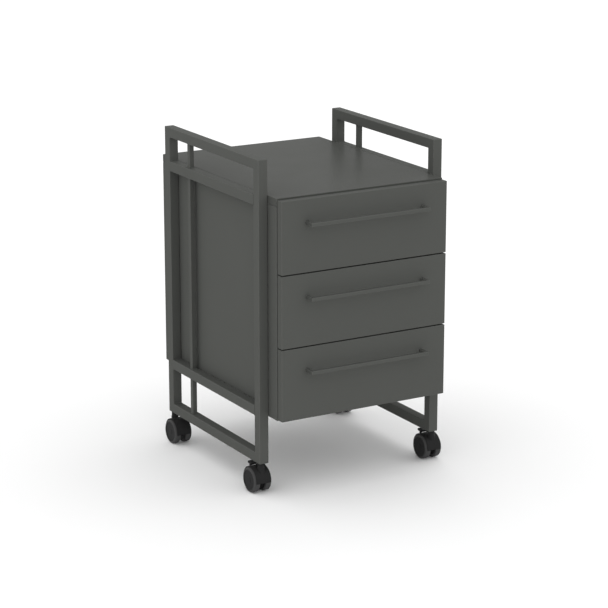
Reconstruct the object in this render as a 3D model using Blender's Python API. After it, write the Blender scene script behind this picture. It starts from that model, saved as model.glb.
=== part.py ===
"""Rolling pedestal cabinet: a three-drawer body hung between two tube side frames on twin-wheel casters.

Metres, +Z up. X runs across the cabinet, left is -X, and the drawers open towards -Y.
The origin is on the floor, at the middle of the whole object's footprint.
"""

import math

import bmesh
import bpy
from mathutils import Matrix, Vector

# Clearance between pieces that touch, and how far a cutting shape runs past what it cuts.
GAP = 0.0003
PAST = 0.010

# Side frames: square tube, with a thinner square bar near the rear post.
FRAME_WIDTH = 0.410
FRAME_DEPTH = 0.388
FRAME_BOTTOM = 0.062
FRAME_TOP = 0.662
TUBE_ACROSS = 0.020
TUBE_DEEP = 0.020
BAR_SIDE = 0.010
BAR_FROM_REAR = 0.0935

# Cabinet body. Its sides and top reach the side frames, which are screwed to it.
BODY_WIDTH = 0.3694
BODY_DEPTH = 0.490
BODY_BOTTOM = 0.157
BODY_TOP = 0.593
PANEL = 0.016

# Drawers.
DRAWERS = ("lower", "middle", "upper")
FRONT_WIDTH = 0.368
FRONT_THICKNESS = 0.016
FRONT_REVEAL = 0.0024
FRONTS_BOTTOM = 0.159
FRONTS_TOP = 0.590
BUFFER_GAP = 0.002
BOX_DEPTH = 0.420
BOX_HEIGHT = 0.105
BOX_LIFT = 0.020
BOX_WALL = 0.012
BOX_FLOOR = 0.006

# Drawer slides: a wide channel on the side panel, with a narrower one on the drawer running inside it.
SLIDE_LENGTH = 0.400
SLIDE_SETBACK = 0.002
SLIDE_SPACE = 0.0127
SLIDE_METAL = 0.0015
CABINET_RAIL_HEIGHT = 0.036
CABINET_RAIL_DEPTH = 0.0095
DRAWER_RAIL_HEIGHT = 0.030
DRAWER_RAIL_DEPTH = 0.0080

# Handles: a square bar bent back into two legs.
HANDLE_LENGTH = 0.264
HANDLE_REACH = 0.024
HANDLE_SIDE = 0.007
HANDLE_DROP = 0.0455

# Casters.
WHEEL_RADIUS = 0.025
WHEEL_THICKNESS = 0.013
WHEEL_SHOULDER = 0.0025
WHEEL_FACE_RADIUS = 0.020
WHEEL_RIM_FALL = 0.00075
WHEEL_RIM_DEPTH = 0.00375
WEB_HALF = 0.0057
CASTER_TRAIL = 0.015
SWIVEL_ACROSS = 0.197
HOOD_RADIUS = 0.0272
HOOD_HALF_WIDTH = 0.0160
HOOD_CLEARANCE = 0.0008
HOOD_SKIRT = 0.002
BOSS_RADIUS = 0.0065
BOSS_TOP = 0.0600
STEM_RADIUS = 0.0040
STEM_HOLE_RADIUS = 0.0044
STEM_FOOT = 0.0360
STEM_IN_POST = 0.025
COLLAR_RADIUS = 0.0065
AXLE_RADIUS = 0.0030
AXLE_BORE_RADIUS = 0.0034
AXLE_REACH = 0.0150
ROUND_SIDES = 24
WHEEL_SIDES = 32
WELL_SIDES = 48
HOOD_SIDES = 64
SHARP = math.radians(30)

# Brake lever on the front casters: a flat tab on a barrel held between two lugs.
LEVER_BARREL_RADIUS = 0.0024
LEVER_BACK = 0.0120
LEVER_HEIGHT = 0.0527
LEVER_HALF_WIDTH = 0.0070
LEVER_TIP = 0.0285
LEVER_THICKNESS = 0.0042
LUG_THICKNESS = 0.0020
LUG_REACH = 0.0029
LUG_FOOT = 0.0468

# Derived places. The handles reach out in front, so the cabinet stands behind the origin by half their reach.
CABINET_Y = HANDLE_REACH / 2
FRAME_FRONT = CABINET_Y - FRAME_DEPTH / 2
FRAME_REAR = CABINET_Y + FRAME_DEPTH / 2
FRAME_OUTER = FRAME_WIDTH / 2
FRAME_INNER = FRAME_OUTER - TUBE_ACROSS
TUBE_CENTRE = FRAME_OUTER - TUBE_ACROSS / 2
BODY_FRONT = CABINET_Y - BODY_DEPTH / 2
BODY_REAR = CABINET_Y + BODY_DEPTH / 2
FRONT_BACK = BODY_FRONT + FRONT_THICKNESS
CARCASS_FRONT = FRONT_BACK + BUFFER_GAP
FRONT_HEIGHT = (FRONTS_TOP - FRONTS_BOTTOM - FRONT_REVEAL * (len(DRAWERS) - 1)) / len(DRAWERS)
INNER_HALF = BODY_WIDTH / 2 - PANEL
BOX_HALF = INNER_HALF - SLIDE_SPACE

GREY = (0.090, 0.093, 0.088)
SLIDE_ZINC = (0.55, 0.56, 0.57)
BOX_GREY = (0.20, 0.20, 0.20)
CASTER_BLACK = (0.020, 0.020, 0.021)
TREAD_GREY = (0.060, 0.060, 0.062)

PAINT = (GREY, 0.45, 0.0)
BOARD = (GREY, 0.50, 0.0)
BOX_BOARD = (BOX_GREY, 0.55, 0.0)
ZINC = (SLIDE_ZINC, 0.35, 1.0)
NYLON = (CASTER_BLACK, 0.45, 0.0)
TREAD = (TREAD_GREY, 0.60, 0.0)
STEEL = ((0.42, 0.42, 0.43), 0.30, 1.0)


def clear_scene():
    for obj in list(bpy.data.objects):
        bpy.data.objects.remove(obj)


def finish(obj, look):
    """Give the piece its own material."""
    colour, roughness, metallic = look
    material = bpy.data.materials.new(obj.name)
    material.use_nodes = True
    shader = material.node_tree.nodes["Principled BSDF"]
    shader.inputs["Base Color"].default_value = (*colour, 1.0)
    shader.inputs["Roughness"].default_value = roughness
    shader.inputs["Metallic"].default_value = metallic
    obj.data.materials.clear()
    obj.data.materials.append(material)
    return obj


def link(name, mesh, place=(0, 0, 0), turn=0.0):
    obj = bpy.data.objects.new(name, mesh)
    obj.location = place
    obj.rotation_euler.z = turn
    bpy.context.scene.collection.objects.link(obj)
    return obj


def mesh_from(bm, name):
    bmesh.ops.recalc_face_normals(bm, faces=bm.faces)
    mesh = bpy.data.meshes.new(name)
    bm.to_mesh(mesh)
    bm.free()
    return mesh


def block_mesh(name, low, high):
    """A rectangular block between two corners."""
    low, high = Vector(low), Vector(high)
    bm = bmesh.new()
    bmesh.ops.create_cube(bm, size=1.0)
    place = Matrix.Translation((low + high) / 2) @ Matrix.Diagonal((*(high - low), 1.0))
    bmesh.ops.transform(bm, matrix=place, verts=bm.verts)
    return mesh_from(bm, name)


def block(name, low, high, look):
    """A rectangular piece with its origin at its middle."""
    low, high = Vector(low), Vector(high)
    middle = (low + high) / 2
    return finish(link(name, block_mesh(name, low - middle, high - middle), middle), look)


def prism_mesh(name, outline, low, high, axis):
    """An outline extruded along X, Y or Z. Its points give the other two coordinates, in X, Y, Z order."""
    bm = bmesh.new()
    ring = []
    for first, second in outline:
        point = [first, second]
        point.insert("XYZ".index(axis), low)
        ring.append(bm.verts.new(point))
    cap = bm.faces.new(ring)
    step = Vector((0, 0, 0))
    step["XYZ".index(axis)] = high - low
    grown = bmesh.ops.extrude_face_region(bm, geom=[cap])
    moved = [item for item in grown["geom"] if isinstance(item, bmesh.types.BMVert)]
    bmesh.ops.translate(bm, vec=step, verts=moved)
    return mesh_from(bm, name)


def turned_mesh(name, profile, sides, axis):
    """A solid turned about X or Z, from (radius, height) points that run out from the axis and back to it."""
    bm = bmesh.new()
    rings = []
    for radius, height in profile:
        ring = []
        for step in range(sides if radius > 0 else 1):
            angle = 2 * math.pi * step / sides
            across, along = radius * math.cos(angle), radius * math.sin(angle)
            ring.append(bm.verts.new((height, across, along) if axis == "X" else (across, along, height)))
        rings.append(ring)
    for ring, following in zip(rings, rings[1:]):
        for step in range(sides):
            corners = [ring[step % len(ring)], ring[(step + 1) % len(ring)]]
            corners += [following[(step + 1) % len(following)], following[step % len(following)]]
            bm.faces.new(list(dict.fromkeys(corners)))
    mesh = mesh_from(bm, name)
    mesh.shade_smooth()
    mesh.set_sharp_from_angle(angle=SHARP)
    return mesh


def rod_mesh(name, radius, low, high, axis, sides=ROUND_SIDES):
    return turned_mesh(name, [(0, low), (radius, low), (radius, high), (0, high)], sides, axis)


def combine(name, mesh, steps):
    """Join or cut a mesh with each (operation, mesh) in turn, and return the result as one mesh."""
    obj = link(name, mesh)
    helpers = []
    for operation, other in steps:
        helper = link(other.name, other)
        helper.hide_render = True
        helper.display_type = "WIRE"
        helpers.append(helper)
        modifier = obj.modifiers.new(other.name, "BOOLEAN")
        modifier.operation = operation
        modifier.object = helper
    graph = bpy.context.evaluated_depsgraph_get()
    result = bpy.data.meshes.new_from_object(obj.evaluated_get(graph))
    result.name = name
    for helper in [obj, *helpers]:
        bpy.data.objects.remove(helper)
    return result


def side_frame(side, sign):
    """One welded side frame: the outer hoop, two cross rails and the thin bar in its three lengths."""
    inner, outer = sorted((sign * FRAME_INNER, sign * FRAME_OUTER))
    window = FRAME_DEPTH / 2 - TUBE_DEEP
    low, high = FRAME_BOTTOM + TUBE_DEEP, FRAME_TOP - TUBE_DEEP
    hoop = block_mesh("hoop", (inner, FRAME_FRONT, FRAME_BOTTOM), (outer, FRAME_REAR, FRAME_TOP))
    corners = (inner - PAST, CABINET_Y - window, low), (outer + PAST, CABINET_Y + window, high)
    steps = [("DIFFERENCE", block_mesh("window", *corners))]
    for stem_y in (FRAME_FRONT + TUBE_DEEP / 2, FRAME_REAR - TUBE_DEEP / 2):
        depth = FRAME_BOTTOM + STEM_IN_POST + 2 * GAP
        hole = rod_mesh("stem_hole", STEM_HOLE_RADIUS, FRAME_BOTTOM - PAST, depth, "Z")
        hole.transform(Matrix.Translation((sign * SWIVEL_ACROSS, stem_y, 0)))
        steps.append(("DIFFERENCE", hole))
    finish(link(f"{side}_frame_hoop", combine("hoop", hoop, steps)), PAINT)

    upper, lower = BODY_TOP - TUBE_DEEP, BODY_BOTTOM
    for rail, base in (("upper", upper), ("lower", lower)):
        corner = (inner, CABINET_Y - window + GAP, base)
        block(f"{side}_{rail}_cross_rail", corner, (outer, CABINET_Y + window - GAP, base + TUBE_DEEP), PAINT)

    bar_y = FRAME_REAR - BAR_FROM_REAR
    centre = Vector((sign * TUBE_CENTRE, bar_y, 0))
    reach = Vector((BAR_SIDE / 2, BAR_SIDE / 2, 0))
    spans = (("top", BODY_TOP, high), ("middle", lower + TUBE_DEEP, upper), ("base", low, lower))
    for span, start, end in spans:
        bottom, top = Vector((0, 0, start + GAP)), Vector((0, 0, end - GAP))
        block(f"{side}_{span}_thin_bar", centre - reach + bottom, centre + reach + top, PAINT)


def carcass():
    half = BODY_WIDTH / 2
    under_top = BODY_TOP - PANEL
    block("top_panel", (-half, CARCASS_FRONT, under_top), (half, BODY_REAR, BODY_TOP), BOARD)
    sides_top = under_top - GAP
    for side, sign in (("left", -1), ("right", 1)):
        near, far = sorted((sign * INNER_HALF, sign * half))
        block(f"{side}_side_panel", (near, CARCASS_FRONT, BODY_BOTTOM), (far, BODY_REAR, sides_top), BOARD)
    between = INNER_HALF - GAP
    floor_top = BODY_BOTTOM + PANEL
    block("bottom_panel", (-between, CARCASS_FRONT, BODY_BOTTOM), (between, BODY_REAR, floor_top), BOARD)
    low = (-between, BODY_REAR - PANEL, floor_top + GAP)
    block("back_panel", low, (between, BODY_REAR, sides_top), BOARD)


def channel(height, depth, sign):
    """Outline in X and Z of a thin channel whose web is at X = 0 and whose lips point towards sign."""
    half, metal = height / 2, SLIDE_METAL
    outline = [(0, -half), (depth, -half), (depth, -half + metal), (metal, -half + metal)]
    outline += [(metal, half - metal), (depth, half - metal), (depth, half), (0, half)]
    return [(sign * x, z) for x, z in outline]


def drawer(level, index):
    base = FRONTS_BOTTOM + index * (FRONT_HEIGHT + FRONT_REVEAL)
    top = base + FRONT_HEIGHT
    half = FRONT_WIDTH / 2
    block(f"{level}_drawer_front", (-half, BODY_FRONT, base), (half, FRONT_BACK, top), BOARD)

    floor = base + BOX_LIFT
    box_front = FRONT_BACK + GAP
    box_high = (BOX_HALF, box_front + BOX_DEPTH, floor + BOX_HEIGHT)
    box = block_mesh("box", (-BOX_HALF, box_front, floor), box_high)
    hollow_low = (-BOX_HALF + BOX_WALL, box_front + BOX_WALL, floor + BOX_FLOOR)
    hollow_high = (BOX_HALF - BOX_WALL, box_front + BOX_DEPTH - BOX_WALL, floor + BOX_HEIGHT + PAST)
    hollow = block_mesh("hollow", hollow_low, hollow_high)
    finish(link(f"{level}_drawer_box", combine("box", box, [("DIFFERENCE", hollow)])), BOX_BOARD)

    handle(level, top - HANDLE_DROP)

    slide_z = floor + BOX_HEIGHT / 2
    start = CARCASS_FRONT + SLIDE_SETBACK
    for side, sign in (("left", -1), ("right", 1)):
        outline = channel(CABINET_RAIL_HEIGHT, CABINET_RAIL_DEPTH, -sign)
        mesh = prism_mesh("rail", outline, 0, SLIDE_LENGTH, "Y")
        place = (sign * (INNER_HALF - GAP), start, slide_z)
        finish(link(f"{level}_{side}_cabinet_rail", mesh, place), ZINC)
        outline = channel(DRAWER_RAIL_HEIGHT, DRAWER_RAIL_DEPTH, sign)
        mesh = prism_mesh("rail", outline, 0, SLIDE_LENGTH, "Y")
        place = (sign * (BOX_HALF + GAP), start, slide_z)
        finish(link(f"{level}_{side}_drawer_rail", mesh, place), ZINC)


def handle(level, centre):
    half, side = HANDLE_LENGTH / 2, HANDLE_SIDE
    root, reach = -GAP, -HANDLE_REACH
    outline = [(-half, root), (-half, reach), (half, reach), (half, root)]
    inner = half - side
    outline += [(inner, root), (inner, reach + side), (-inner, reach + side), (-inner, root)]
    mesh = prism_mesh("handle", outline, -side / 2, side / 2, "Z")
    finish(link(f"{level}_drawer_handle", mesh, (0, BODY_FRONT, centre)), PAINT)


def wheel_mesh():
    """A wheel about X, its closed face at +X and its blind axle bore at the other end."""
    radius, shoulder = WHEEL_RADIUS, WHEEL_SHOULDER
    inner, outer = WEB_HALF + GAP, WEB_HALF + GAP + WHEEL_THICKNESS
    bore_end = AXLE_REACH + GAP
    profile = [(0, outer), (WHEEL_FACE_RADIUS, outer), (radius - shoulder, outer - WHEEL_RIM_FALL)]
    profile += [(radius, outer - WHEEL_RIM_DEPTH), (radius, inner + shoulder), (radius - shoulder, inner)]
    profile += [(AXLE_BORE_RADIUS, inner), (AXLE_BORE_RADIUS, bore_end), (0, bore_end)]
    return turned_mesh("wheel", profile, WHEEL_SIDES, "X")


def housing_mesh(braked):
    """The swivel housing, with the swivel axis at X = Y = 0 and the wheels' axle behind it, towards +Y."""
    shell = rod_mesh("shell", HOOD_RADIUS, -HOOD_HALF_WIDTH, HOOD_HALF_WIDTH, "X", HOOD_SIDES)
    axle_place = Matrix.Translation((0, CASTER_TRAIL, WHEEL_RADIUS))
    shell.transform(axle_place)
    reach = HOOD_RADIUS + PAST
    skirt = WHEEL_RADIUS - HOOD_SKIRT
    below = block_mesh("below", (-reach, CASTER_TRAIL - reach, -PAST), (reach, CASTER_TRAIL + reach, skirt))
    boss = rod_mesh("boss", BOSS_RADIUS, WHEEL_RADIUS, BOSS_TOP, "Z")
    steps = [("DIFFERENCE", below), ("UNION", boss)]
    if braked:
        for sign in (-1, 1):
            lug_inner = LEVER_HALF_WIDTH + GAP
            near, far = sorted((sign * lug_inner, sign * (lug_inner + LUG_THICKNESS)))
            back = CASTER_TRAIL + LEVER_BACK
            top = (far, back + LUG_REACH, LEVER_HEIGHT + LUG_REACH)
            lug = block_mesh("lug", (near, back - LUG_REACH, LUG_FOOT), top)
            steps.append(("UNION", lug))
    for sign in (-1, 1):
        near, far = sorted((sign * WEB_HALF, sign * (HOOD_HALF_WIDTH + PAST)))
        well = rod_mesh("well", WHEEL_RADIUS + HOOD_CLEARANCE, near, far, "X", WELL_SIDES)
        well.transform(axle_place)
        steps.append(("DIFFERENCE", well))
    socket = rod_mesh("socket", STEM_HOLE_RADIUS, STEM_FOOT - GAP, BOSS_TOP + PAST, "Z")
    steps.append(("DIFFERENCE", socket))
    axle = rod_mesh("axle", AXLE_RADIUS, -AXLE_REACH, AXLE_REACH, "X")
    axle.transform(axle_place)
    steps.append(("UNION", axle))
    return combine("housing", shell, steps)


def stem_mesh():
    """The stem, fixed in a post's foot, with the collar that the post rests on."""
    collar_low, collar_high = BOSS_TOP + GAP, FRAME_BOTTOM - GAP
    stem_top = FRAME_BOTTOM + STEM_IN_POST
    profile = [(0, STEM_FOOT), (STEM_RADIUS, STEM_FOOT), (STEM_RADIUS, collar_low)]
    profile += [(COLLAR_RADIUS, collar_low), (COLLAR_RADIUS, collar_high), (STEM_RADIUS, collar_high)]
    profile += [(STEM_RADIUS, stem_top), (0, stem_top)]
    return turned_mesh("stem", profile, ROUND_SIDES, "Z")


def lever_mesh():
    """The brake lever, with its pivot barrel along X through the origin and its tab reaching out to +Y."""
    half = LEVER_HALF_WIDTH
    barrel = rod_mesh("barrel", LEVER_BARREL_RADIUS, -half, half, "X")
    low = (-half, 0, -LEVER_THICKNESS / 2)
    tab = block_mesh("tab", low, (half, LEVER_TIP - LEVER_BACK, LEVER_THICKNESS / 2))
    return combine("lever", barrel, [("UNION", tab)])


def caster(end, side):
    """A caster under one post. The front ones trail back and have a brake, the rear ones trail forward."""
    braked = end == "front"
    sign = -1 if side == "left" else 1
    swivel_y = FRAME_FRONT + TUBE_DEEP / 2 if end == "front" else FRAME_REAR - TUBE_DEEP / 2
    swivel = Vector((sign * SWIVEL_ACROSS, swivel_y, 0))
    turn = 0.0 if end == "front" else math.pi
    trail = Matrix.Rotation(turn, 3, "Z") @ Vector((0, 1, 0))
    name = f"{end}_{side}"
    finish(link(f"{name}_caster_stem", stem_mesh(), swivel), STEEL)
    finish(link(f"{name}_caster_housing", housing_mesh(braked), swivel, turn), NYLON)
    axle = swivel + trail * CASTER_TRAIL + Vector((0, 0, WHEEL_RADIUS))
    for wheel_side, wheel_turn in (("left", math.pi), ("right", 0.0)):
        finish(link(f"{name}_{wheel_side}_wheel", wheel_mesh(), axle, wheel_turn), TREAD)
    if braked:
        pivot = swivel + trail * (CASTER_TRAIL + LEVER_BACK) + Vector((0, 0, LEVER_HEIGHT))
        finish(link(f"{name}_brake_lever", lever_mesh(), pivot, turn), NYLON)


def main():
    clear_scene()
    for side, sign in (("left", -1), ("right", 1)):
        side_frame(side, sign)
    carcass()
    for index, level in enumerate(DRAWERS):
        drawer(level, index)
    for end in ("front", "rear"):
        for side in ("left", "right"):
            caster(end, side)


main()
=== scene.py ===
import contextlib
import math

import bmesh
import bpy
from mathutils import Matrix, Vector


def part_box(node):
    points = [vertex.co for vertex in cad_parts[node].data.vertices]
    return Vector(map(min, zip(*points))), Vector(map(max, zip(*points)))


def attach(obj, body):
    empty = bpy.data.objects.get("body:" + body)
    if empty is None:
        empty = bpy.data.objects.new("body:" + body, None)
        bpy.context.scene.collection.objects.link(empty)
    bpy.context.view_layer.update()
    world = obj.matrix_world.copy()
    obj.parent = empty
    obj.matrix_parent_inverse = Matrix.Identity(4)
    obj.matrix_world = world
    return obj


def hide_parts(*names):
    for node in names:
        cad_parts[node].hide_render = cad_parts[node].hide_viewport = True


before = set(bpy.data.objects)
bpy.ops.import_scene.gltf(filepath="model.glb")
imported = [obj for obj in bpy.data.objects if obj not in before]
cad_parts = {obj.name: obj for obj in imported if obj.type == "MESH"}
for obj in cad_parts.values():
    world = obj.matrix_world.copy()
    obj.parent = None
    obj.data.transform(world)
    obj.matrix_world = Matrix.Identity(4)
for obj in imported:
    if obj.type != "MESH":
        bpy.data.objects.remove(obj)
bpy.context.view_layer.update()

# Rolling pedestal cabinet: the finished surfaces of the frame, the body, the drawers and the casters.
# Metres, +Z up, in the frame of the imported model, whose nodes give every piece its place and size.

SIDES = ("left", "right")
LEVELS = ("lower", "middle", "upper")
ENDS = ("front", "rear")

# How a copy is turned: as its model stands, half round about Z, or half over about Y.
AS_IS = ("z", 0.0)
ABOUT_FACE = ("z", math.pi)
HALF_OVER = ("y", math.pi)

CLOSE = 1e-5
FACING = 0.9
FLAT = 0.9995
MOSTLY = 0.7
SHARP = math.radians(30)
MERGE = 1e-6
SLIVER = 2e-6
PAST = 0.010

# Frame tubes, square in section.
TUBE_SIDE = 0.020
TUBE_ROUND = 0.0015
SLIM_ROUND = 0.0010
WELD_RUN = 0.0022
WELD_RISE = 0.0012
STEM_HOLE = 0.0044

# Boards.
BOARD_ROUND = 0.0010
FRONT_ROUND = 0.0010

# Handles.
HANDLE_SIDE = 0.007
HANDLE_ROUND = 0.0008

# Drawer boxes and their slides.
BOX_WALL = 0.012
BOX_FLOOR = 0.006
BOX_RECESS = 0.002
BOX_ROUND = 0.0010
BOX_SCREW_IN = 0.060
BOX_SCREW_UP = 0.025
BOX_SCREW_DOWN = 0.020
SLIDE_METAL = 0.0015
SLIDE_BEND = 0.0022
SLIDE_ROUND = 0.0003
SLIDE_SCREWS = (0.09, 0.45, 0.90)
SCREW_RADIUS = 0.0034
SCREW_HEIGHT = 0.0011
SCREW_SLOT = 0.0009
SCREW_CROWN = 0.00066
SCREW_CROSS = 0.00204
SCREW_RECESS = 0.00033
BUMPER_RADIUS = 0.0040
BUMPER_HEIGHT = 0.0019
BUMPER_ROUND = 0.00076
BUMPER_IN = 0.0080

# Casters, about a swivel axis at X = Y = 0 with the wheels behind it.
WHEEL_RADIUS = 0.025
WHEEL_INNER = 0.0060
WHEEL_OUTER = 0.0190
WHEEL_SIDES = 72
NECK_SIDES = 48
PIN_SIDES = 32
SMALL_SIDES = 24
DOT_SIDES = 20
TREAD_SHOULDER = 0.0034
TREAD_INNER_SHOULDER = 0.0022
TREAD_LIP = 0.0004
RIM_CLOSE = 2e-4
HUB_RADIUS = 0.0206
HUB_GAP = 0.0001
HUB_OUTER_SET = 0.0004
HUB_INNER_SET = 0.0002
HUB_BORE = 0.0070
HUB_BORE_GAP = 0.0004
HUB_FACE = ((0.0012, 0.0), (0.0008, -0.0007), (0.0125, 0.0), (0.0004, 0.0005))
HUB_BACK = ((0.0060, 0.0), (0.0010, -0.0020))
FINE_ROUND = 0.0003
STEM_ROUND = 0.0004
TRAIL = 0.015
HOOD_INNER = 0.0258
HOOD_OUTER = 0.0272
HOOD_HALF = 0.0160
WEB_HALF = 0.0057
AXLE_RADIUS = 0.0030
AXLE_HALF = 0.0150
HOOD_SKIRT = 0.002
HOOD_STEPS = 44
HOOD_ROUND = 0.0005
BOSS_RADIUS = 0.0065
BOSS_FOOT = 0.0074
BOSS_TOP = 0.0600
BOSS_ROOT = 0.0390
BOSS_FLARE = 0.0510
BOSS_STRAIGHT = 0.0540
BOSS_ROUND = 0.0006
SOCKET_FOOT = 0.0357
COLLAR_GAP = 0.0003
COLLAR_ROUND = 0.0003
PEDAL_BACK = 0.0120
PEDAL_HEIGHT = 0.0527
PEDAL_HALF = 0.0070
PEDAL_THICKNESS = 0.0042
PEDAL_REACH = 0.0165
PEDAL_CORNER = 0.0045
PEDAL_ROUND = 0.0012
PEDAL_RIBS = (0.0058, 0.0084, 0.0110)
PEDAL_RIB_HALF = 0.0007
PEDAL_BARREL = 0.0024
LUG_INNER = 0.0073
LUG_OUTER = 0.0093
LUG_REACH = 0.0029
LUG_FOOT = 0.0468
LUG_ROUND = 0.00232
PIN_RADIUS = 0.0040
PIN_GROOVE = 0.0008
PIN_GROOVE_DOWN = 0.0052
PEDAL_RIB_SLOPE = 0.0003
PEDAL_RIB_RISE = 0.0004

# Studio and camera.
CAMERA_PLACE = (-2.1908, -3.7882, 1.5276)
CAMERA_AZIMUTH = -30.03
CAMERA_DROP = 15.52
CAMERA_LENS = 133.55
SENSOR_WIDTH = 36.0
DOME_STRENGTH = 1.23
FLOOR_SIZE = 30.0
FLOOR_WHITE = 0.90


# ---- Working in edit mode ----

def alone(obj):
    """Select one object and nothing else."""
    bpy.ops.object.select_all(action="DESELECT")
    obj.select_set(True)
    bpy.context.view_layer.objects.active = obj
    return obj


@contextlib.contextmanager
def editing(obj):
    alone(obj)
    bpy.ops.object.mode_set(mode="EDIT")
    yield obj
    bpy.ops.object.mode_set(mode="OBJECT")


def pick(kind, test):
    """Select the faces, edges or points of the mesh in edit mode that pass the test."""
    bpy.ops.mesh.select_mode(type=kind)
    bpy.ops.mesh.select_all(action="DESELECT")
    mesh = bpy.context.object.data
    bm = bmesh.from_edit_mesh(mesh)
    for item in {"VERT": bm.verts, "EDGE": bm.edges, "FACE": bm.faces}[kind]:
        if test(item):
            item.select_set(True)
    bmesh.update_edit_mesh(mesh)


def face_outwards():
    bpy.ops.mesh.select_all(action="SELECT")
    bpy.ops.mesh.remove_doubles(threshold=MERGE)
    bpy.ops.mesh.normals_make_consistent(inside=False)


def slice_at(place, normal):
    """Cut a ring of edges round the whole mesh in edit mode."""
    bpy.ops.mesh.select_all(action="SELECT")
    bpy.ops.mesh.bisect(plane_co=place, plane_no=normal)


def push(step):
    """Extrude what is selected by a step."""
    bpy.ops.mesh.extrude_region_move(TRANSFORM_OT_translate={"value": step})


def keep_place(name):
    obj = bpy.context.object
    obj.name = name
    obj.data.name = name
    bpy.ops.object.transform_apply(location=True, rotation=True, scale=True)
    return obj


def block(name, low, high):
    """Start a piece from a cube at its size and place."""
    low, high = Vector(low), Vector(high)
    bpy.ops.object.select_all(action="DESELECT")
    bpy.ops.mesh.primitive_cube_add(size=1.0, location=(low + high) / 2, scale=high - low)
    return keep_place(name)


def rod(name, radius, start, end, centre, axis, sides):
    """Start a piece from a cylinder along X or Z, between two places on that axis."""
    along = "xyz".index(axis)
    place = Vector(centre)
    place[along] = (start + end) / 2
    turn = (0, math.pi / 2, 0) if axis == "x" else (0, 0, 0)
    bpy.ops.object.select_all(action="DESELECT")
    bpy.ops.mesh.primitive_cylinder_add(
        vertices=sides, radius=radius, depth=end - start, location=place, rotation=turn
    )
    return keep_place(name)


def apply_modifier(obj, kind, **settings):
    alone(obj)
    modifier = obj.modifiers.new(kind.lower(), kind)
    for key, value in settings.items():
        setattr(modifier, key, value)
    bpy.ops.object.modifier_apply(modifier=modifier.name)
    return obj


def round_edges(obj, width, segments=3, angle=35):
    settings = {"width": width, "segments": segments, "limit_method": "ANGLE"}
    return apply_modifier(obj, "BEVEL", angle_limit=math.radians(angle), **settings)


def unite(obj, other):
    """Join another shape into this one, and drop it."""
    apply_modifier(obj, "BOOLEAN", operation="UNION", object=other)
    bpy.data.objects.remove(other)
    return obj


def cut(obj, cutter):
    """Cut a shape out of this one, and drop it."""
    apply_modifier(obj, "BOOLEAN", operation="DIFFERENCE", object=cutter)
    bpy.data.objects.remove(cutter)
    return obj


def join(name, pieces):
    """Several shapes as one piece."""
    alone(pieces[0])
    for piece in pieces[1:]:
        piece.select_set(True)
    bpy.ops.object.join()
    obj = bpy.context.object
    obj.name = name
    obj.data.name = name
    return obj


def copy_of(obj, name, place=(0, 0, 0), turn=AS_IS):
    """A copy with its own mesh, turned about one axis through the origin and then moved."""
    axis, angle = turn
    alone(obj)
    bpy.ops.object.duplicate(linked=False)
    made = bpy.context.object
    made.rotation_euler["xyz".index(axis)] = angle
    made.location = place
    return keep_place(name)


def near(a, b):
    return abs(a - b) < CLOSE


def sharp(edge):
    return edge.calc_face_angle(0) > SHARP


def edge_runs(edge, along, least=FACING):
    step = edge.verts[0].co - edge.verts[1].co
    return abs(step.normalized()[along]) > least


def mark_edges(obj):
    """Note how far each point lies on a rounded edge, which the finishes read as wear and as a painted
    highlight.
    """
    attribute = obj.data.attributes.new("edge", "FLOAT", "POINT")
    flat = [0] * len(obj.data.vertices)
    for face in obj.data.polygons:
        if max(abs(part) for part in face.normal) > FLAT:
            for index in face.vertices:
                flat[index] = 1
    attribute.data.foreach_set("value", [1.0 - value for value in flat])


def smooth(obj, angle=38):
    """Drop slivers that a rounding left, and shade the curves smooth and the flats flat."""
    with editing(obj):
        bpy.ops.mesh.select_all(action="SELECT")
        bpy.ops.mesh.dissolve_degenerate(threshold=SLIVER)
    bpy.ops.object.shade_smooth_by_angle(angle=math.radians(angle))
    apply_modifier(obj, "WEIGHTED_NORMAL", keep_sharp=True)


def dress(obj, finish, body, nodes, worn=True):
    """Shade a piece, give it its finish, and set it on its body in place of its CAD nodes."""
    smooth(obj)
    if worn:
        mark_edges(obj)
    obj.data.materials.clear()
    obj.data.materials.append(finish)
    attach(obj, body)
    if nodes:
        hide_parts(*nodes)


def lay_out(model, copies, finish, worn=True):
    """Set a finished copy of the model at each place, and drop the model. A copy is its name, body, CAD
    nodes, place and turn."""
    for name, body, nodes, place, turn in copies:
        dress(copy_of(model, name, place, turn), finish, body, nodes, worn)
    bpy.data.objects.remove(model)


def step_between(model_node, node, turn=AS_IS):
    """How far a copy moves from its model's place to another node's, once it is turned."""
    low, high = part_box(model_node)
    start = Vector((-high.x, low.y, -high.z)) if turn == HALF_OVER else low
    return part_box(node)[0] - start


# ---- Shared effects ----

def add_node(tree, kind, inputs=None, **settings):
    made = tree.nodes.new(kind)
    for key, value in settings.items():
        setattr(made, key, value)
    for socket, value in (inputs or {}).items():
        if isinstance(value, bpy.types.NodeSocket):
            tree.links.new(value, made.inputs[socket])
        else:
            made.inputs[socket].default_value = value
    return made


def new_group(name, inputs, outputs):
    """An effect with named sockets. Returns its tree, what comes in and what goes out."""
    tree = bpy.data.node_groups.new(name, "ShaderNodeTree")
    for label, kind in inputs:
        tree.interface.new_socket(name=label, in_out="INPUT", socket_type=kind)
    for label, kind in outputs:
        tree.interface.new_socket(name=label, in_out="OUTPUT", socket_type=kind)
    coming = tree.nodes.new("NodeGroupInput").outputs
    going = tree.nodes.new("NodeGroupOutput").inputs
    return tree, coming, going


NUMBER = "NodeSocketFloat"
COLOUR = "NodeSocketColor"
HALF = 0.5


def object_place(tree):
    return add_node(tree, "ShaderNodeTexCoord").outputs["Object"]


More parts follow.
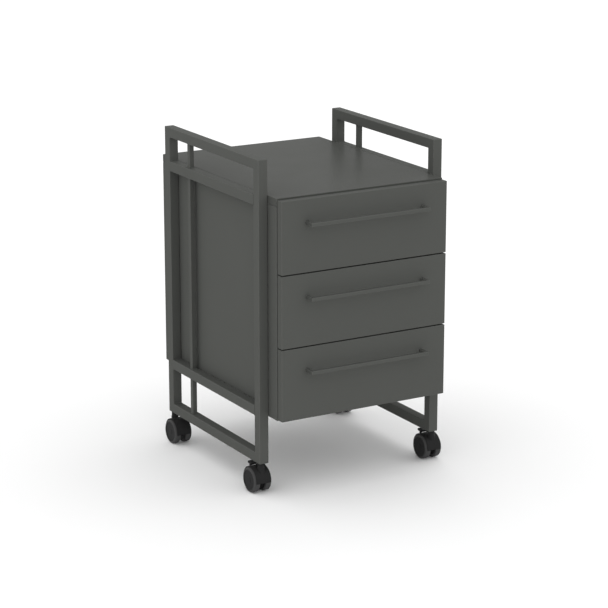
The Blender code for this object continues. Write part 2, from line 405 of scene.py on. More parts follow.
def noise(tree, place, scale, detail, roughness):
    settings = {"Vector": place, "Scale": scale, "Detail": detail, "Roughness": roughness}
    return add_node(tree, "ShaderNodeTexNoise", settings).outputs["Fac"]


def stretched_noise(tree, stretch, detail, roughness):
    """Noise drawn out along the axes where the stretch is small."""
    drawn = add_node(tree, "ShaderNodeMapping", {"Vector": object_place(tree), "Scale": stretch})
    return noise(tree, drawn.outputs["Vector"], 1.0, detail, roughness)


def work_out(tree, operation, *values, **settings):
    """One step of arithmetic on the values."""
    made = add_node(tree, "ShaderNodeMath", dict(enumerate(values)), operation=operation, **settings)
    return made.outputs[0]


def spread_out(tree, value, **limits):
    """Map a value from one range to another. The limits are named as on the node."""
    named = {label.replace("_", " ").title(): limit for label, limit in limits.items()}
    return add_node(tree, "ShaderNodeMapRange", {"Value": value, **named}).outputs["Result"]


def mix_colours(tree, amount, first, second):
    """The colour sockets of a Mix node share their names with its other kinds, so they go by number."""
    mixed = add_node(tree, "ShaderNodeMix", {0: amount, 6: first, 7: second}, data_type="RGBA")
    return mixed.outputs[2]


def tone_drift_group():
    """Large soft patches of slightly lighter and darker tone, and a fine speckle inside them."""
    inputs = [("Colour", COLOUR), ("Patch Scale", NUMBER), ("Patch Amount", NUMBER)]
    inputs += [("Speckle Scale", NUMBER), ("Speckle Amount", NUMBER)]
    tree, coming, going = new_group("tone_drift", inputs, [("Colour", COLOUR)])
    place = object_place(tree)
    value = 1.0
    for label in ("Patch", "Speckle"):
        pattern = noise(tree, place, coming[f"{label} Scale"], 3.0, 0.55)
        centred = work_out(tree, "SUBTRACT", pattern, HALF)
        value = work_out(tree, "MULTIPLY_ADD", centred, coming[f"{label} Amount"], value)
    shaded = add_node(tree, "ShaderNodeHueSaturation", {"Color": coming["Colour"], "Value": value})
    tree.links.new(shaded.outputs["Color"], going["Colour"])
    return tree


def skin_group():
    """The fine relief of a sprayed or moulded surface, with gloss that varies in patches."""
    inputs = [("Scale", NUMBER), ("Softness", NUMBER), ("Roughness", NUMBER), ("Spread", NUMBER)]
    tree, coming, going = new_group("skin", inputs, [("Height", NUMBER), ("Roughness", NUMBER)])
    place = object_place(tree)
    grain = noise(tree, place, coming["Scale"], 2.0, 0.5)
    wide = work_out(tree, "MULTIPLY", coming["Scale"], 0.35)
    cells = {"Vector": place, "Scale": wide, "Smoothness": 1.0}
    swell = add_node(tree, "ShaderNodeTexVoronoi", cells, feature="SMOOTH_F1").outputs["Distance"]
    height = add_node(tree, "ShaderNodeMix", {"Factor": coming["Softness"], "A": grain, "B": swell})
    tree.links.new(height.outputs["Result"], going["Height"])
    patch = noise(tree, place, 14.0, 4.0, 0.6)
    centred = work_out(tree, "SUBTRACT", patch, HALF)
    rough = work_out(tree, "MULTIPLY_ADD", centred, coming["Spread"], coming["Roughness"], use_clamp=True)
    tree.links.new(rough, going["Roughness"])
    return tree


def edge_rub_and_highlight_group():
    """Handling polishes the rounded edges, and a painted highlight brightens them: a little lighter and
    smoother, in broken stretches.
    """
    inputs = [("Colour", COLOUR), ("Rubbed And Highlight", COLOUR), ("Roughness", NUMBER), ("Amount", NUMBER)]
    tree, coming, going = new_group("edge_rub_and_highlight", inputs, [("Colour", COLOUR), ("Roughness", NUMBER)])
    edge = add_node(tree, "ShaderNodeAttribute", attribute_name="edge").outputs["Fac"]
    broken = noise(tree, object_place(tree), 60.0, 4.0, 0.65)
    kept = spread_out(tree, broken, from_min=0.30, from_max=0.60, to_min=0.45, to_max=1.0)
    mask = work_out(tree, "MULTIPLY", edge, kept)
    amount = work_out(tree, "MULTIPLY", mask, coming["Amount"])
    tree.links.new(mix_colours(tree, amount, coming["Colour"], coming["Rubbed And Highlight"]), going["Colour"])
    rough = work_out(tree, "MULTIPLY_ADD", amount, -0.12, coming["Roughness"], use_clamp=True)
    tree.links.new(rough, going["Roughness"])
    return tree


def settled_dust_group():
    """A thin film of dust where a surface faces up, thicker in some places than in others."""
    inputs = [("Colour", COLOUR), ("Dust", COLOUR), ("Roughness", NUMBER), ("Amount", NUMBER)]
    tree, coming, going = new_group("settled_dust", inputs, [("Colour", COLOUR), ("Roughness", NUMBER)])
    normal = add_node(tree, "ShaderNodeTexCoord").outputs["Normal"]
    upward = add_node(tree, "ShaderNodeSeparateXYZ", {0: normal}).outputs["Z"]
    lying = spread_out(tree, upward, from_min=-0.2, from_max=1.0, to_min=0.15, to_max=1.0)
    flecks = noise(tree, object_place(tree), 220.0, 5.0, 0.7)
    mask = work_out(tree, "MULTIPLY", lying, flecks)
    amount = work_out(tree, "MULTIPLY", mask, coming["Amount"])
    tree.links.new(mix_colours(tree, amount, coming["Colour"], coming["Dust"]), going["Colour"])
    rough = work_out(tree, "MULTIPLY_ADD", amount, 0.5, coming["Roughness"], use_clamp=True)
    tree.links.new(rough, going["Roughness"])
    return tree


TONE_DRIFT = tone_drift_group()
SKIN = skin_group()
EDGE_RUB_AND_HIGHLIGHT = edge_rub_and_highlight_group()
SETTLED_DUST = settled_dust_group()


# ---- Finishes ----

def use_group(tree, group, inputs):
    made = tree.nodes.new("ShaderNodeGroup")
    made.node_tree = group
    for socket, value in inputs.items():
        if isinstance(value, bpy.types.NodeSocket):
            tree.links.new(value, made.inputs[socket])
        else:
            made.inputs[socket].default_value = value
    return made.outputs


def new_finish(name, metallic=0.0, specular=0.5):
    material = bpy.data.materials.new(name)
    material.use_nodes = True
    tree = material.node_tree
    shader = tree.nodes["Principled BSDF"]
    shader.inputs["Metallic"].default_value = metallic
    shader.inputs["Specular IOR Level"].default_value = specular
    return material, tree, shader


def relief(tree, shader, height, depth):
    bump = add_node(tree, "ShaderNodeBump", {"Strength": 1.0, "Distance": depth, "Height": height})
    tree.links.new(bump.outputs["Normal"], shader.inputs["Normal"])


def coated(name, colour, rubbed_and_highlit, roughness, grain, softness, depth, specular, drift=0.10, rub_and_highlight=0.5):
    """A sprayed finish: even tone, fine relief, and edges that handling has smoothed, lightened by wear and
    by a painted highlight.
    """
    material, tree, shader = new_finish(name, specular=specular)
    tone = {"Colour": (*colour, 1), "Patch Scale": 7.0, "Patch Amount": drift}
    tone |= {"Speckle Scale": grain * 0.8, "Speckle Amount": drift}
    toned = use_group(tree, TONE_DRIFT, tone)
    skin = {"Scale": grain, "Softness": softness, "Roughness": roughness, "Spread": 0.10}
    surface = use_group(tree, SKIN, skin)
    rubbing_and_highlight = {"Colour": toned["Colour"], "Rubbed And Highlight": (*rubbed_and_highlit, 1), "Roughness": surface["Roughness"]}
    edged = use_group(tree, EDGE_RUB_AND_HIGHLIGHT, {**rubbing_and_highlight, "Amount": rub_and_highlight})
    tree.links.new(edged["Colour"], shader.inputs["Base Color"])
    tree.links.new(edged["Roughness"], shader.inputs["Roughness"])
    relief(tree, shader, surface["Height"], depth)
    return material


def moulded(name, colour, dust, roughness, grain, depth, dusting, specular):
    """Moulded plastic or rubber: a fine spark-eroded grain, and dust where it faces up."""
    material, tree, shader = new_finish(name, specular=specular)
    tone = {"Colour": (*colour, 1), "Patch Scale": 40.0, "Patch Amount": 0.20}
    tone |= {"Speckle Scale": grain, "Speckle Amount": 0.25}
    toned = use_group(tree, TONE_DRIFT, tone)
    skin = {"Scale": grain, "Softness": 0.1, "Roughness": roughness, "Spread": 0.16}
    surface = use_group(tree, SKIN, skin)
    lying = {"Colour": toned["Colour"], "Dust": (*dust, 1), "Roughness": surface["Roughness"]}
    dusted = use_group(tree, SETTLED_DUST, {**lying, "Amount": dusting})
    tree.links.new(dusted["Colour"], shader.inputs["Base Color"])
    tree.links.new(dusted["Roughness"], shader.inputs["Roughness"])
    relief(tree, shader, surface["Height"], depth)
    return material


def plated(name, colour, roughness, stretch, depth):
    """Zinc plate, with drawing or turning lines that run across the stretched axis."""
    material, tree, shader = new_finish(name, metallic=1.0)
    streak = stretched_noise(tree, stretch, 4.0, 0.6)
    tone = {"Colour": (*colour, 1), "Patch Scale": 90.0, "Patch Amount": 0.35}
    tone |= {"Speckle Scale": 900.0, "Speckle Amount": 0.20}
    toned = use_group(tree, TONE_DRIFT, tone)
    tree.links.new(toned["Colour"], shader.inputs["Base Color"])
    rough = spread_out(tree, streak, to_min=roughness - 0.10, to_max=roughness + 0.14)
    tree.links.new(rough, shader.inputs["Roughness"])
    relief(tree, shader, streak, depth)
    return material


THREADS = ((1400.0, 120.0, 120.0), (120.0, 1400.0, 1400.0))
THREAD_DEPTH = 0.00004


def melamine(name, colour, roughness):
    """Melamine-faced board: a printed linen of fine crossed threads under a satin film."""
    material, tree, shader = new_finish(name, specular=0.35)
    threads = [stretched_noise(tree, stretch, 2.0, 0.5) for stretch in THREADS]
    woven = work_out(tree, "MAXIMUM", *threads)
    value = spread_out(tree, woven, from_min=0.35, from_max=0.75, to_min=0.90, to_max=1.12)
    shaded = add_node(tree, "ShaderNodeHueSaturation", {"Color": (*colour, 1), "Value": value})
    skin = {"Scale": 1100.0, "Softness": 0.2, "Roughness": roughness, "Spread": 0.10}
    surface = use_group(tree, SKIN, skin)
    # The rounded edges are lighter: handling wear, and a painted highlight.
    rubbed_and_highlit = tuple(min(1.0, part * 1.5) for part in colour)
    rubbing_and_highlight = {"Colour": shaded.outputs["Color"], "Rubbed And Highlight": (*rubbed_and_highlit, 1), "Roughness": surface["Roughness"]}
    edged = use_group(tree, EDGE_RUB_AND_HIGHLIGHT, {**rubbing_and_highlight, "Amount": 0.6})
    tree.links.new(edged["Colour"], shader.inputs["Base Color"])
    tree.links.new(edged["Roughness"], shader.inputs["Roughness"])
    relief(tree, shader, woven, THREAD_DEPTH)
    return material


GREY = (0.0805, 0.0830, 0.0775)
# The top's grey is the same grey made darker: painted shade that holds down the extra light falling on the
# top.
TOP_GREY_PAINTED_SHADE = (0.0715, 0.0737, 0.0688)
# The rubbed grey lightens the rounded edges: handling wear, and a painted highlight where the edges catch
# the light.
GREY_RUBBED_AND_HIGHLIT = (0.118, 0.121, 0.115)
DUST = (0.10, 0.095, 0.09)
FRAME_PAINT = coated("frame_powder_coat", GREY, GREY_RUBBED_AND_HIGHLIT, 0.48, 1000.0, 0.55, 0.00005, 0.008)
BODY_BOARD = coated("body_lacquer", GREY, GREY_RUBBED_AND_HIGHLIT, 0.38, 1700.0, 0.35, 0.000025, 0.004, drift=0.07)
TOP_BOARD_PAINTED_SHADE = coated("top_lacquer_painted_shade", TOP_GREY_PAINTED_SHADE, GREY_RUBBED_AND_HIGHLIT, 0.36, 1700.0, 0.35, 0.000025, 0.006, drift=0.07)
HANDLE_PAINT = coated("handle_powder_coat", GREY, GREY_RUBBED_AND_HIGHLIT, 0.45, 1300.0, 0.55, 0.00003, 0.008, rub_and_highlight=0.7)
BOX_BOARD = melamine("box_melamine", (0.150, 0.150, 0.150), 0.50)
SLIDE_ZINC = plated("slide_zinc_plate", (0.55, 0.56, 0.57), 0.34, (2200.0, 12.0, 2200.0), 0.00002)
STEM_ZINC = plated("stem_zinc_plate", (0.42, 0.42, 0.43), 0.30, (60.0, 60.0, 3000.0), 0.00002)
BLACK_NYLON = moulded("black_nylon", (0.0185, 0.0185, 0.0187), DUST, 0.45, 1500.0, 0.00003, 0.06, 0.05)
HUB_NYLON = moulded("hub_nylon", (0.0165, 0.0165, 0.0167), DUST, 0.42, 1300.0, 0.00003, 0.06, 0.05)
TREAD_RUBBER = moulded("tread_rubber", (0.0520, 0.0520, 0.0522), DUST, 0.60, 900.0, 0.00006, 0.10, 0.10)
BUMPER_RUBBER = moulded("bumper_rubber", (0.050, 0.050, 0.050), DUST, 0.65, 1200.0, 0.00003, 0.05, 0.3)


# ---- Side frames ----

def hoop_tube():
    """The outer tube of the left side frame, all round, with a hole in its foot for each caster stem."""
    low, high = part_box("left_frame_hoop")
    tube = block("hoop", low, high)
    with editing(tube):
        pick("FACE", lambda face: abs(face.normal.x) > FACING)
        bpy.ops.mesh.inset(thickness=TUBE_SIDE, use_individual=True)
        bpy.ops.mesh.bridge_edge_loops()
        face_outwards()
    round_edges(tube, TUBE_ROUND)
    for end in ENDS:
        stem_low, stem_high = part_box(f"{end}_left_caster_stem")
        centre = (stem_low + stem_high) / 2
        cut(tube, rod("stem_hole", STEM_HOLE, low.z - PAST, stem_high.z + CLOSE, centre, "z", SMALL_SIDES))
    return tube


def welded_bar(low, high, axis, spread, rounding):
    """A tube set between two others: the weld fills the corner at both ends, on the faces not flush."""
    along = "xyz".index(axis)
    normal = [0, 0, 0]
    normal[along] = 1
    middle, size = (low + high) / 2, high - low
    grow = [1 + 2 * WELD_RISE / size[i] if i in spread else 1 for i in range(3)]
    bar = block("bar", low, high)
    with editing(bar):
        for cut_at in (low[along] + WELD_RUN, high[along] - WELD_RUN):
            middle[along] = cut_at
            slice_at(middle, normal)
        for end in (low[along], high[along]):
            middle[along] = end
            pick("VERT", lambda vert: near(vert.co[along], end))
            bpy.ops.transform.resize(value=grow, center_override=middle)
        pick("EDGE", lambda edge: edge_runs(edge, along, MOSTLY))
        bpy.ops.mesh.bevel(offset=rounding, segments=3, affect="EDGES")
        face_outwards()
    return bar


def both_sides(model, label, part, finish):
    """Lay out a piece of the left side frame on both sides, in place of a part of that name."""
    copies = []
    for side in SIDES:
        node = f"{side}_{part}"
        copies.append((f"{side}_{label}", "cabinet", [node], step_between(f"left_{part}", node), AS_IS))
    lay_out(model, copies, finish)


def side_frames():
    both_sides(hoop_tube(), "hoop_tube", "frame_hoop", FRAME_PAINT)
    hoop_low, hoop_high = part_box("left_frame_hoop")
    for rail in ("upper", "lower"):
        low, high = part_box(f"left_{rail}_cross_rail")
        low.y = hoop_low.y + TUBE_SIDE
        high.y = hoop_high.y - TUBE_SIDE
        tube = welded_bar(low, high, "y", (2,), TUBE_ROUND)
        both_sides(tube, f"{rail}_cross_tube", f"{rail}_cross_rail", FRAME_PAINT)
    upper_low, upper_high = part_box("left_upper_cross_rail")
    lower_low, lower_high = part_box("left_lower_cross_rail")
    spans = (
        ("top", upper_high.z, hoop_high.z - TUBE_SIDE),
        ("middle", lower_high.z, upper_low.z),
        ("base", hoop_low.z + TUBE_SIDE, lower_low.z),
    )
    for span, start, end in spans:
        low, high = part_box(f"left_{span}_thin_bar")
        low.z = start
        high.z = end
        bar = welded_bar(low, high, "z", (0, 1), SLIM_ROUND)
        both_sides(bar, f"{span}_slim_bar", f"{span}_thin_bar", FRAME_PAINT)


# ---- Body ----

def board(node, rounding):
    """A board with softened edges."""
    return round_edges(block("board", *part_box(node)), rounding)


def carcass():
    """The boards. The top's lacquer is polished a little more than that of the others, and its grey is a
    darker copy of theirs: painted shade that holds down the extra light falling on the top.
    """
    for name, finish in (("top", TOP_BOARD_PAINTED_SHADE), ("bottom", BODY_BOARD), ("back", BODY_BOARD)):
        node = f"{name}_panel"
        copies = [(f"{name}_board", "cabinet", [node], (0, 0, 0), AS_IS)]
        lay_out(board(node, BOARD_ROUND), copies, finish)
    both_sides(board("left_side_panel", BOARD_ROUND), "side_board", "side_panel", BODY_BOARD)


# ---- Drawers ----

def screw_head():
    """A pan-head screw as it shows once driven: the head points along +Z, with a cross recess."""
    head = rod("screw", SCREW_RADIUS, 0, SCREW_HEIGHT, (0, 0, 0), "z", DOT_SIDES)
    with editing(head):
        pick("EDGE", lambda edge: all(near(vert.co.z, SCREW_HEIGHT) for vert in edge.verts))
        bpy.ops.mesh.bevel(offset=SCREW_CROWN, segments=3, affect="EDGES")
    for across, deep in ((SCREW_CROSS, SCREW_SLOT / 2), (SCREW_SLOT / 2, SCREW_CROSS)):
        low = (-across, -deep, SCREW_RECESS)
        cut(head, block("slot", low, (across, deep, SCREW_HEIGHT + PAST)))
    return head


def scattered(model, places, turn):
    """Copies of a small piece at several places, as one piece."""
    return join("scattered", [copy_of(model, "scattered", place, turn) for place in places])


def bumper_dots():
    """Four soft dots on the back of the lower drawer's front, near its corners."""
    low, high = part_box("lower_drawer_front")
    dot = rod("dot", BUMPER_RADIUS, 0, BUMPER_HEIGHT, (0, 0, 0), "z", DOT_SIDES)
    round_edges(dot, BUMPER_ROUND, 2)
    across, up = (low.x + BUMPER_IN, high.x - BUMPER_IN), (low.z + BUMPER_IN, high.z - BUMPER_IN)
    dots = scattered(dot, [(x, high.y, z) for z in up for x in across], ("x", -math.pi / 2))
    bpy.data.objects.remove(dot)
    return dots


def handle_bar():
    """A square bar bent back at both ends, its legs standing on the lower drawer's front."""
    low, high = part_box("lower_drawer_handle")
    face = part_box("lower_drawer_front")[0].y
    back = low.y + HANDLE_SIDE
    reach = high.x - HANDLE_SIDE
    bar = block("handle", low, (high.x, back, high.z))
    with editing(bar):
        for x in (-reach, reach):
            slice_at((x, 0, 0), (1, 0, 0))
        pick("FACE", lambda item: item.normal.y > FACING and abs(item.calc_center_median().x) > reach)
        push((0, face - back, 0))
        face_outwards()
        pick("EDGE", lambda edge: not all(near(vert.co.y, face) for vert in edge.verts) and sharp(edge))
        bpy.ops.mesh.bevel(offset=HANDLE_ROUND, segments=3, affect="EDGES")
        face_outwards()
    return bar


def box_shell():
    """The lower drawer's box: four walls and a floor that is set up into them."""
    low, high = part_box("lower_drawer_box")
    shell = block("shell", low, high)
    with editing(shell):
        pick("FACE", lambda face: face.normal.z > FACING)
        bpy.ops.mesh.inset(thickness=BOX_WALL)
        push((0, 0, low.z + BOX_FLOOR - high.z))
        pick("FACE", lambda face: near(face.calc_center_median().z, low.z))
        bpy.ops.mesh.inset(thickness=BOX_WALL)
        push((0, 0, BOX_RECESS))
        face_outwards()
    return round_edges(shell, BOX_ROUND, 2)


def box_screws(head):
    """The screws inside the lower drawer's box: two into the handle's legs and four into the front."""
    low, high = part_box("lower_drawer_box")
    handle_low, handle_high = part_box("lower_drawer_handle")
    leg = handle_high.x - HANDLE_SIDE / 2
    corner = high.x - BOX_SCREW_IN
    rows = [(leg, (handle_low.z + handle_high.z) / 2)]
    rows += [(corner, low.z + BOX_SCREW_UP), (corner, high.z - BOX_SCREW_DOWN)]
    places = [(x, low.y + BOX_WALL, z) for across, z in rows for x in (-across, across)]
    return scattered(head, places, ("x", -math.pi / 2))


def channel(node, opening):
    """A slide member bent from strip. Opening is the side of X that it faces."""
    low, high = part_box(node)
    rail = block("channel", low, high)
    web = low.x if opening > 0 else high.x
    with editing(rail):
        pick("FACE", lambda face: face.normal.x * opening > FACING or abs(face.normal.y) > FACING)
        bpy.ops.mesh.delete(type="FACE")
        pick("EDGE", lambda edge: all(near(vert.co.x, web) for vert in edge.verts) and edge_runs(edge, 1))
        bpy.ops.mesh.bevel(offset=SLIDE_BEND, segments=4, affect="EDGES")
    apply_modifier(rail, "SOLIDIFY", thickness=SLIDE_METAL, offset=-1)
    return round_edges(rail, SLIDE_ROUND, 2, 50)


def channel_screws(node, opening, head):
    low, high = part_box(node)
    web = low.x + SLIDE_METAL if opening > 0 else high.x - SLIDE_METAL
    middle = (low.z + high.z) / 2
    places = [(web, low.y + (high.y - low.y) * share, middle) for share in SLIDE_SCREWS]
    return scattered(head, places, ("y", opening * math.pi / 2))


def each_level(model, label, part, finish, slot, worn=True, replaced=True):
    """Lay out a piece of the lower drawer on all three drawers, in place of a part of that name."""
    copies = []
    for level in LEVELS:
        node = f"{level}_{part}"
        place = step_between(f"lower_{part}", node)
        copies.append((f"{level}_{label}", f"{level}_drawer", [node] if replaced else [], place, AS_IS))
    lay_out(model, copies, finish, worn)


def slides(head):
    """The channels on the cabinet and on the drawers. The right ones are the left ones turned over."""
    for member, opening in (("cabinet", 1), ("drawer", -1)):
        model_node = f"lower_left_{member}_rail"
        rails, screws = [], []
        for level in LEVELS:
            for side, turn in (("left", AS_IS), ("right", HALF_OVER)):
                node = f"{level}_{side}_{member}_rail"
                name = f"{level}_{side}_{member}_channel"
                body = "cabinet" if member == "cabinet" else f"{level}_drawer"
                place = step_between(model_node, node, turn)
                rails.append((name, body, [node], place, turn))
                screws.append((f"{name}_screws", body, [], place, turn))
        lay_out(channel(model_node, opening), rails, SLIDE_ZINC, worn=False)
        lay_out(channel_screws(model_node, opening, head), screws, STEM_ZINC, worn=False)


def drawers():
    head = screw_head()
    front = board("lower_drawer_front", FRONT_ROUND)
    each_level(front, "front_board", "drawer_front", BODY_BOARD, "body_board")
    bare = {"worn": False, "replaced": False}
    each_level(bumper_dots(), "bumpers", "drawer_front", BUMPER_RUBBER, "wheel_tread", **bare)
    each_level(handle_bar(), "handle_bar", "drawer_handle", HANDLE_PAINT, "handle_paint")
    each_level(box_shell(), "box_shell", "drawer_box", BOX_BOARD, "box_board")
    each_level(box_screws(head), "box_screws", "drawer_box", STEM_ZINC, "stem_steel", **bare)
    slides(head)
    bpy.data.objects.remove(head)


# ---- Casters ----

def from_axle(vert):
    return math.hypot(vert.co.y, vert.co.z)


def on_rim(edge, x, radius):
    return all(near(vert.co.x, x) and abs(from_axle(vert) - radius) < RIM_CLOSE for vert in edge.verts)


def ringed(obj, axis, thickness):
    """Open a disc or short rod along its axis into a ring of this thickness."""
    along = "xyz".index(axis)
    with editing(obj):
        pick("FACE", lambda face: abs(face.normal[along]) > FACING)
        bpy.ops.mesh.inset(thickness=thickness, use_individual=True)
        bpy.ops.mesh.bridge_edge_loops()
        face_outwards()
    return obj


def tread_ring():
    """The tyre of a wheel about X through the origin: a full shoulder outside and a tighter one inside."""
    ring = rod("tread", WHEEL_RADIUS, WHEEL_INNER, WHEEL_OUTER, (0, 0, 0), "x", WHEEL_SIDES)
    ringed(ring, "x", WHEEL_RADIUS - HUB_RADIUS)
    with editing(ring):
        for side, width in ((WHEEL_OUTER, TREAD_SHOULDER), (WHEEL_INNER, TREAD_INNER_SHOULDER)):
            pick("EDGE", lambda edge: on_rim(edge, side, WHEEL_RADIUS))
            bpy.ops.mesh.bevel(offset=width, segments=5, affect="EDGES")
        for side in (WHEEL_OUTER, WHEEL_INNER):
            pick("EDGE", lambda edge: on_rim(edge, side, HUB_RADIUS))
            bpy.ops.mesh.bevel(offset=TREAD_LIP, segments=2, affect="EDGES")
        face_outwards()
    return ring


def hub_disc():
    """The disc inside the tyre: a shallow dish with a raised cap outside, and a blind axle bore inside."""
    inner, outer = WHEEL_INNER + HUB_INNER_SET, WHEEL_OUTER - HUB_OUTER_SET
    radius = HUB_RADIUS - HUB_GAP
    disc = rod("hub", radius, inner, outer, (0, 0, 0), "x", WHEEL_SIDES)
    with editing(disc):
        pick("FACE", lambda face: face.normal.x > FACING)
        for thickness, depth in HUB_FACE:
            bpy.ops.mesh.inset(thickness=thickness, depth=depth)
        pick("FACE", lambda face: face.normal.x < -FACING)
        for thickness, depth in HUB_BACK:
            bpy.ops.mesh.inset(thickness=thickness, depth=depth)
        taken = sum(thickness for thickness, _depth in HUB_BACK)
        bpy.ops.mesh.inset(thickness=radius - taken - AXLE_RADIUS - HUB_BORE_GAP)
        push((HUB_BORE, 0, 0))
        face_outwards()
    return round_edges(disc, FINE_ROUND, 2, 40)


def over_web(place):
    return near(place.y, -HOOD_INNER) and abs(place.x) < WEB_HALF + CLOSE


def hood():
    """The cover over both wheels and the web between them, as one T-shaped section spun about the axle."""
    bpy.ops.object.select_all(action="DESELECT")
    bpy.ops.mesh.primitive_plane_add(size=1.0, location=(0, -(HOOD_INNER + HOOD_OUTER) / 2, 0))
    bpy.context.object.scale = (2 * HOOD_HALF, HOOD_OUTER - HOOD_INNER, 1)
    cover = keep_place("hood")
    dip = math.asin(HOOD_SKIRT / HOOD_OUTER)
    with editing(cover):
        for x in (-WEB_HALF, WEB_HALF):
            slice_at((x, 0, 0), (1, 0, 0))
        pick("EDGE", lambda edge: all(over_web(vert.co) for vert in edge.verts))
        push((0, HOOD_INNER - AXLE_RADIUS, 0))
        bpy.ops.mesh.select_all(action="SELECT")
        bpy.ops.mesh.spin(steps=HOOD_STEPS, angle=math.pi + 2 * dip, center=(0, 0, 0), axis=(1, 0, 0))
        face_outwards()
    cover.rotation_euler.x = dip
    cover.location = (0, TRAIL, WHEEL_RADIUS)
    alone(cover)
    bpy.ops.object.transform_apply(location=True, rotation=True, scale=True)
    return round_edges(cover, HOOD_ROUND, 2, 50)


def boss():
    """The neck that takes the stem, wider where it grows out of the hood."""
    neck = rod("boss", BOSS_FOOT, BOSS_ROOT, BOSS_TOP, (0, 0, 0), "z", NECK_SIDES)
    with editing(neck):
        for z in (BOSS_FLARE, BOSS_STRAIGHT):
            slice_at((0, 0, z), (0, 0, 1))
        pick("VERT", lambda vert: vert.co.z > BOSS_STRAIGHT - CLOSE)
        share = BOSS_RADIUS / BOSS_FOOT
        bpy.ops.transform.resize(value=(share, share, 1), center_override=(0, 0, BOSS_STRAIGHT))
        pick("EDGE", lambda edge: all(near(vert.co.z, BOSS_TOP) for vert in edge.verts))
        bpy.ops.mesh.bevel(offset=BOSS_ROUND, segments=3, affect="EDGES")
        face_outwards()
    return neck


def brake_lugs():
    """The two lugs on a front hood that hold the pedal's barrel, as one model and its copy."""
    back = TRAIL + PEDAL_BACK
    top = PEDAL_HEIGHT + LUG_REACH
    lug = block("lug", (LUG_INNER, back - LUG_REACH, LUG_FOOT), (LUG_OUTER, back + LUG_REACH, top))
    with editing(lug):
        pick("EDGE", lambda edge: all(near(vert.co.z, top) for vert in edge.verts) and edge_runs(edge, 0))
        bpy.ops.mesh.bevel(offset=LUG_ROUND, segments=5, affect="EDGES")
    return lug, copy_of(lug, "lug", (-LUG_INNER - LUG_OUTER, 0, 0))


def housing(braked):
    cover = unite(hood(), boss())
    if braked:
        for lug in brake_lugs():
            unite(cover, lug)
    return cut(cover, rod("socket", STEM_HOLE, SOCKET_FOOT, BOSS_TOP + PAST, (0, 0, 0), "z", PIN_SIDES))


def at_the_tip(edge):
    return edge_runs(edge, 2) and all(near(vert.co.y, PEDAL_REACH) for vert in edge.verts)


def on_the_outline(edge):
    return sharp(edge) and not edge_runs(edge, 2) and any(vert.co.y > 0 for vert in edge.verts)


def on_a_rib(face):
    return face.normal.z > FLAT and any(near(face.calc_center_median().y, rib) for rib in PEDAL_RIBS)


def pedal():
    """The brake pedal about its pivot: a thick tab with a rounded tip and three grip ribs, on a barrel."""
    half, thick = PEDAL_HALF, PEDAL_THICKNESS / 2
    tab = block("tab", (-half, 0, -thick), (half, PEDAL_REACH, thick))
    with editing(tab):
        pick("EDGE", at_the_tip)
        bpy.ops.mesh.bevel(offset=PEDAL_CORNER, segments=6, affect="EDGES")
        pick("EDGE", on_the_outline)
        bpy.ops.mesh.bevel(offset=PEDAL_ROUND, segments=3, affect="EDGES")
        for rib in PEDAL_RIBS:
            for y in (rib - PEDAL_RIB_HALF, rib + PEDAL_RIB_HALF):
                slice_at((0, y, 0), (0, 1, 0))
        pick("FACE", on_a_rib)
        bpy.ops.mesh.inset(thickness=PEDAL_RIB_SLOPE, depth=PEDAL_RIB_RISE)
        face_outwards()
    return unite(tab, rod("barrel", PEDAL_BARREL, -half, half, (0, 0, 0), "x", PIN_SIDES))


def stem_pin(low, high):
    """The plated stem, with the groove that its spring ring sits in."""
    pin = rod("stem", PIN_RADIUS, low, high, (0, 0, 0), "z", PIN_SIDES)
    with editing(pin):
        for below in (PIN_GROOVE_DOWN + PIN_GROOVE, PIN_GROOVE_DOWN - PIN_GROOVE):
            slice_at((0, 0, high - below), (0, 0, 1))
        pick("FACE", lambda face: near(face.calc_center_median().z, high - PIN_GROOVE_DOWN))
        bpy.ops.mesh.extrude_region_shrink_fatten(TRANSFORM_OT_shrink_fatten={"value": -PIN_GROOVE})
        face_outwards()
    return round_edges(pin, STEM_ROUND, 2, 60)


def neck_collar(low, high):
    """The ring that the post rests on."""
    ring = rod("collar", BOSS_RADIUS, low, high, (0, 0, 0), "z", NECK_SIDES)
    return round_edges(ringed(ring, "z", BOSS_RADIUS - PIN_RADIUS), COLLAR_ROUND, 2, 60)


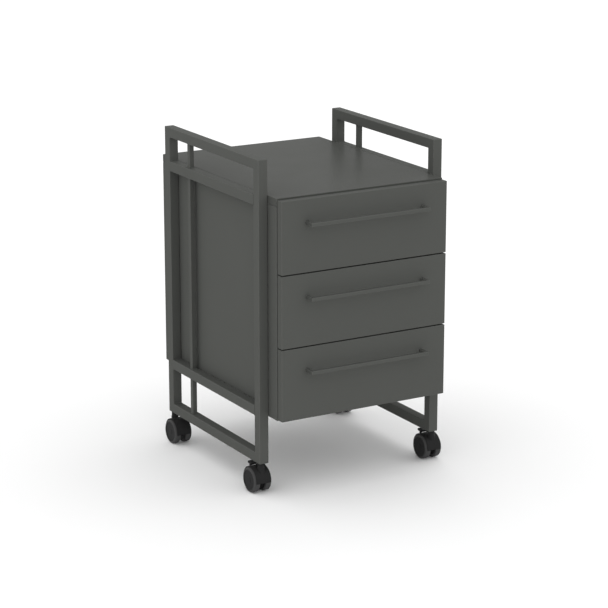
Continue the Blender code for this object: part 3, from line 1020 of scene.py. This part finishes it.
def casters():
    """Every piece is modelled for a caster at X = Y = 0, then set at the four swivels."""
    swivels = []
    for end in ENDS:
        for side in SIDES:
            low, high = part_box(f"{end}_{side}_caster_stem")
            swivel = Vector(((low.x + high.x) / 2, (low.y + high.y) / 2, 0))
            swivels.append((end, f"{end}_{side}", swivel, AS_IS if end == "front" else ABOUT_FACE))

    low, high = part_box("front_left_caster_stem")
    post_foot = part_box("left_frame_hoop")[0].z
    pins, collars = [], []
    for _end, name, swivel, _turn in swivels:
        pins.append((f"{name}_stem_pin", "cabinet", [f"{name}_caster_stem"], swivel, AS_IS))
        collars.append((f"{name}_neck_collar", "cabinet", [f"{name}_caster_stem"], swivel, AS_IS))
    lay_out(stem_pin(low.z, high.z), pins, STEM_ZINC, worn=False)
    lay_out(neck_collar(BOSS_TOP + COLLAR_GAP, post_foot), collars, BLACK_NYLON, worn=False)

    for end in ENDS:
        copies = []
        for at, name, swivel, turn in swivels:
            if at == end:
                copies.append((f"{name}_hood", f"{name}_caster", [f"{name}_caster_housing"], swivel, turn))
        lay_out(housing(end == "front"), copies, BLACK_NYLON, worn=False)

    axle = rod("axle", AXLE_RADIUS, -AXLE_HALF, AXLE_HALF, (0, TRAIL, WHEEL_RADIUS), "x", SMALL_SIDES)
    copies = []
    for _end, name, swivel, turn in swivels:
        copies.append((f"{name}_axle_pin", f"{name}_caster", [f"{name}_caster_housing"], swivel, turn))
    lay_out(round_edges(axle, STEM_ROUND, 2), copies, STEM_ZINC, worn=False)

    treads, hubs, pedals = [], [], []
    for end, name, swivel, _turn in swivels:
        trail = TRAIL if end == "front" else -TRAIL
        place = swivel + Vector((0, trail, WHEEL_RADIUS))
        for wheel, turn in (("left", ABOUT_FACE), ("right", AS_IS)):
            node = f"{name}_{wheel}_wheel"
            treads.append((f"{name}_{wheel}_tread", node, [node], place, turn))
            hubs.append((f"{name}_{wheel}_hub", node, [node], place, turn))
        if end == "front":
            pivot = swivel + Vector((0, TRAIL + PEDAL_BACK, PEDAL_HEIGHT))
            pedals.append((f"{name}_brake_pedal", f"{name}_brake", [f"{name}_brake_lever"], pivot, AS_IS))
    lay_out(tread_ring(), treads, TREAD_RUBBER, worn=False)
    lay_out(hub_disc(), hubs, HUB_NYLON, worn=False)
    lay_out(pedal(), pedals, BLACK_NYLON, worn=False)


# ---- Studio ----

def studio():
    bpy.ops.object.select_all(action="DESELECT")
    bpy.ops.mesh.primitive_plane_add(size=FLOOR_SIZE, location=(0, 0, 0))
    floor = bpy.context.object
    floor.name = "studio_floor"
    paper = bpy.data.materials.new("studio_paper")
    paper.use_nodes = True
    shader = paper.node_tree.nodes["Principled BSDF"]
    shader.inputs["Base Color"].default_value = (FLOOR_WHITE, FLOOR_WHITE, FLOOR_WHITE, 1)
    shader.inputs["Roughness"].default_value = 1.0
    shader.inputs["Specular IOR Level"].default_value = 0.0
    floor.data.materials.append(paper)

    world = bpy.data.worlds.new("studio_dome")
    world.use_nodes = True
    dome = world.node_tree.nodes["Background"]
    dome.inputs["Color"].default_value = (1, 1, 1, 1)
    dome.inputs["Strength"].default_value = DOME_STRENGTH
    bpy.context.scene.world = world
    bpy.context.scene.view_settings.view_transform = "Standard"
    bpy.context.scene.view_settings.look = "None"

    camera = bpy.data.objects.new("camera", bpy.data.cameras.new("camera"))
    camera.location = CAMERA_PLACE
    camera.rotation_euler = (math.radians(90 - CAMERA_DROP), 0, math.radians(CAMERA_AZIMUTH))
    camera.data.lens = CAMERA_LENS
    camera.data.sensor_width = SENSOR_WIDTH
    bpy.context.scene.collection.objects.link(camera)
    bpy.context.scene.camera = camera


side_frames()
carcass()
drawers()
casters()
studio()
bpy.ops.object.select_all(action="DESELECT")
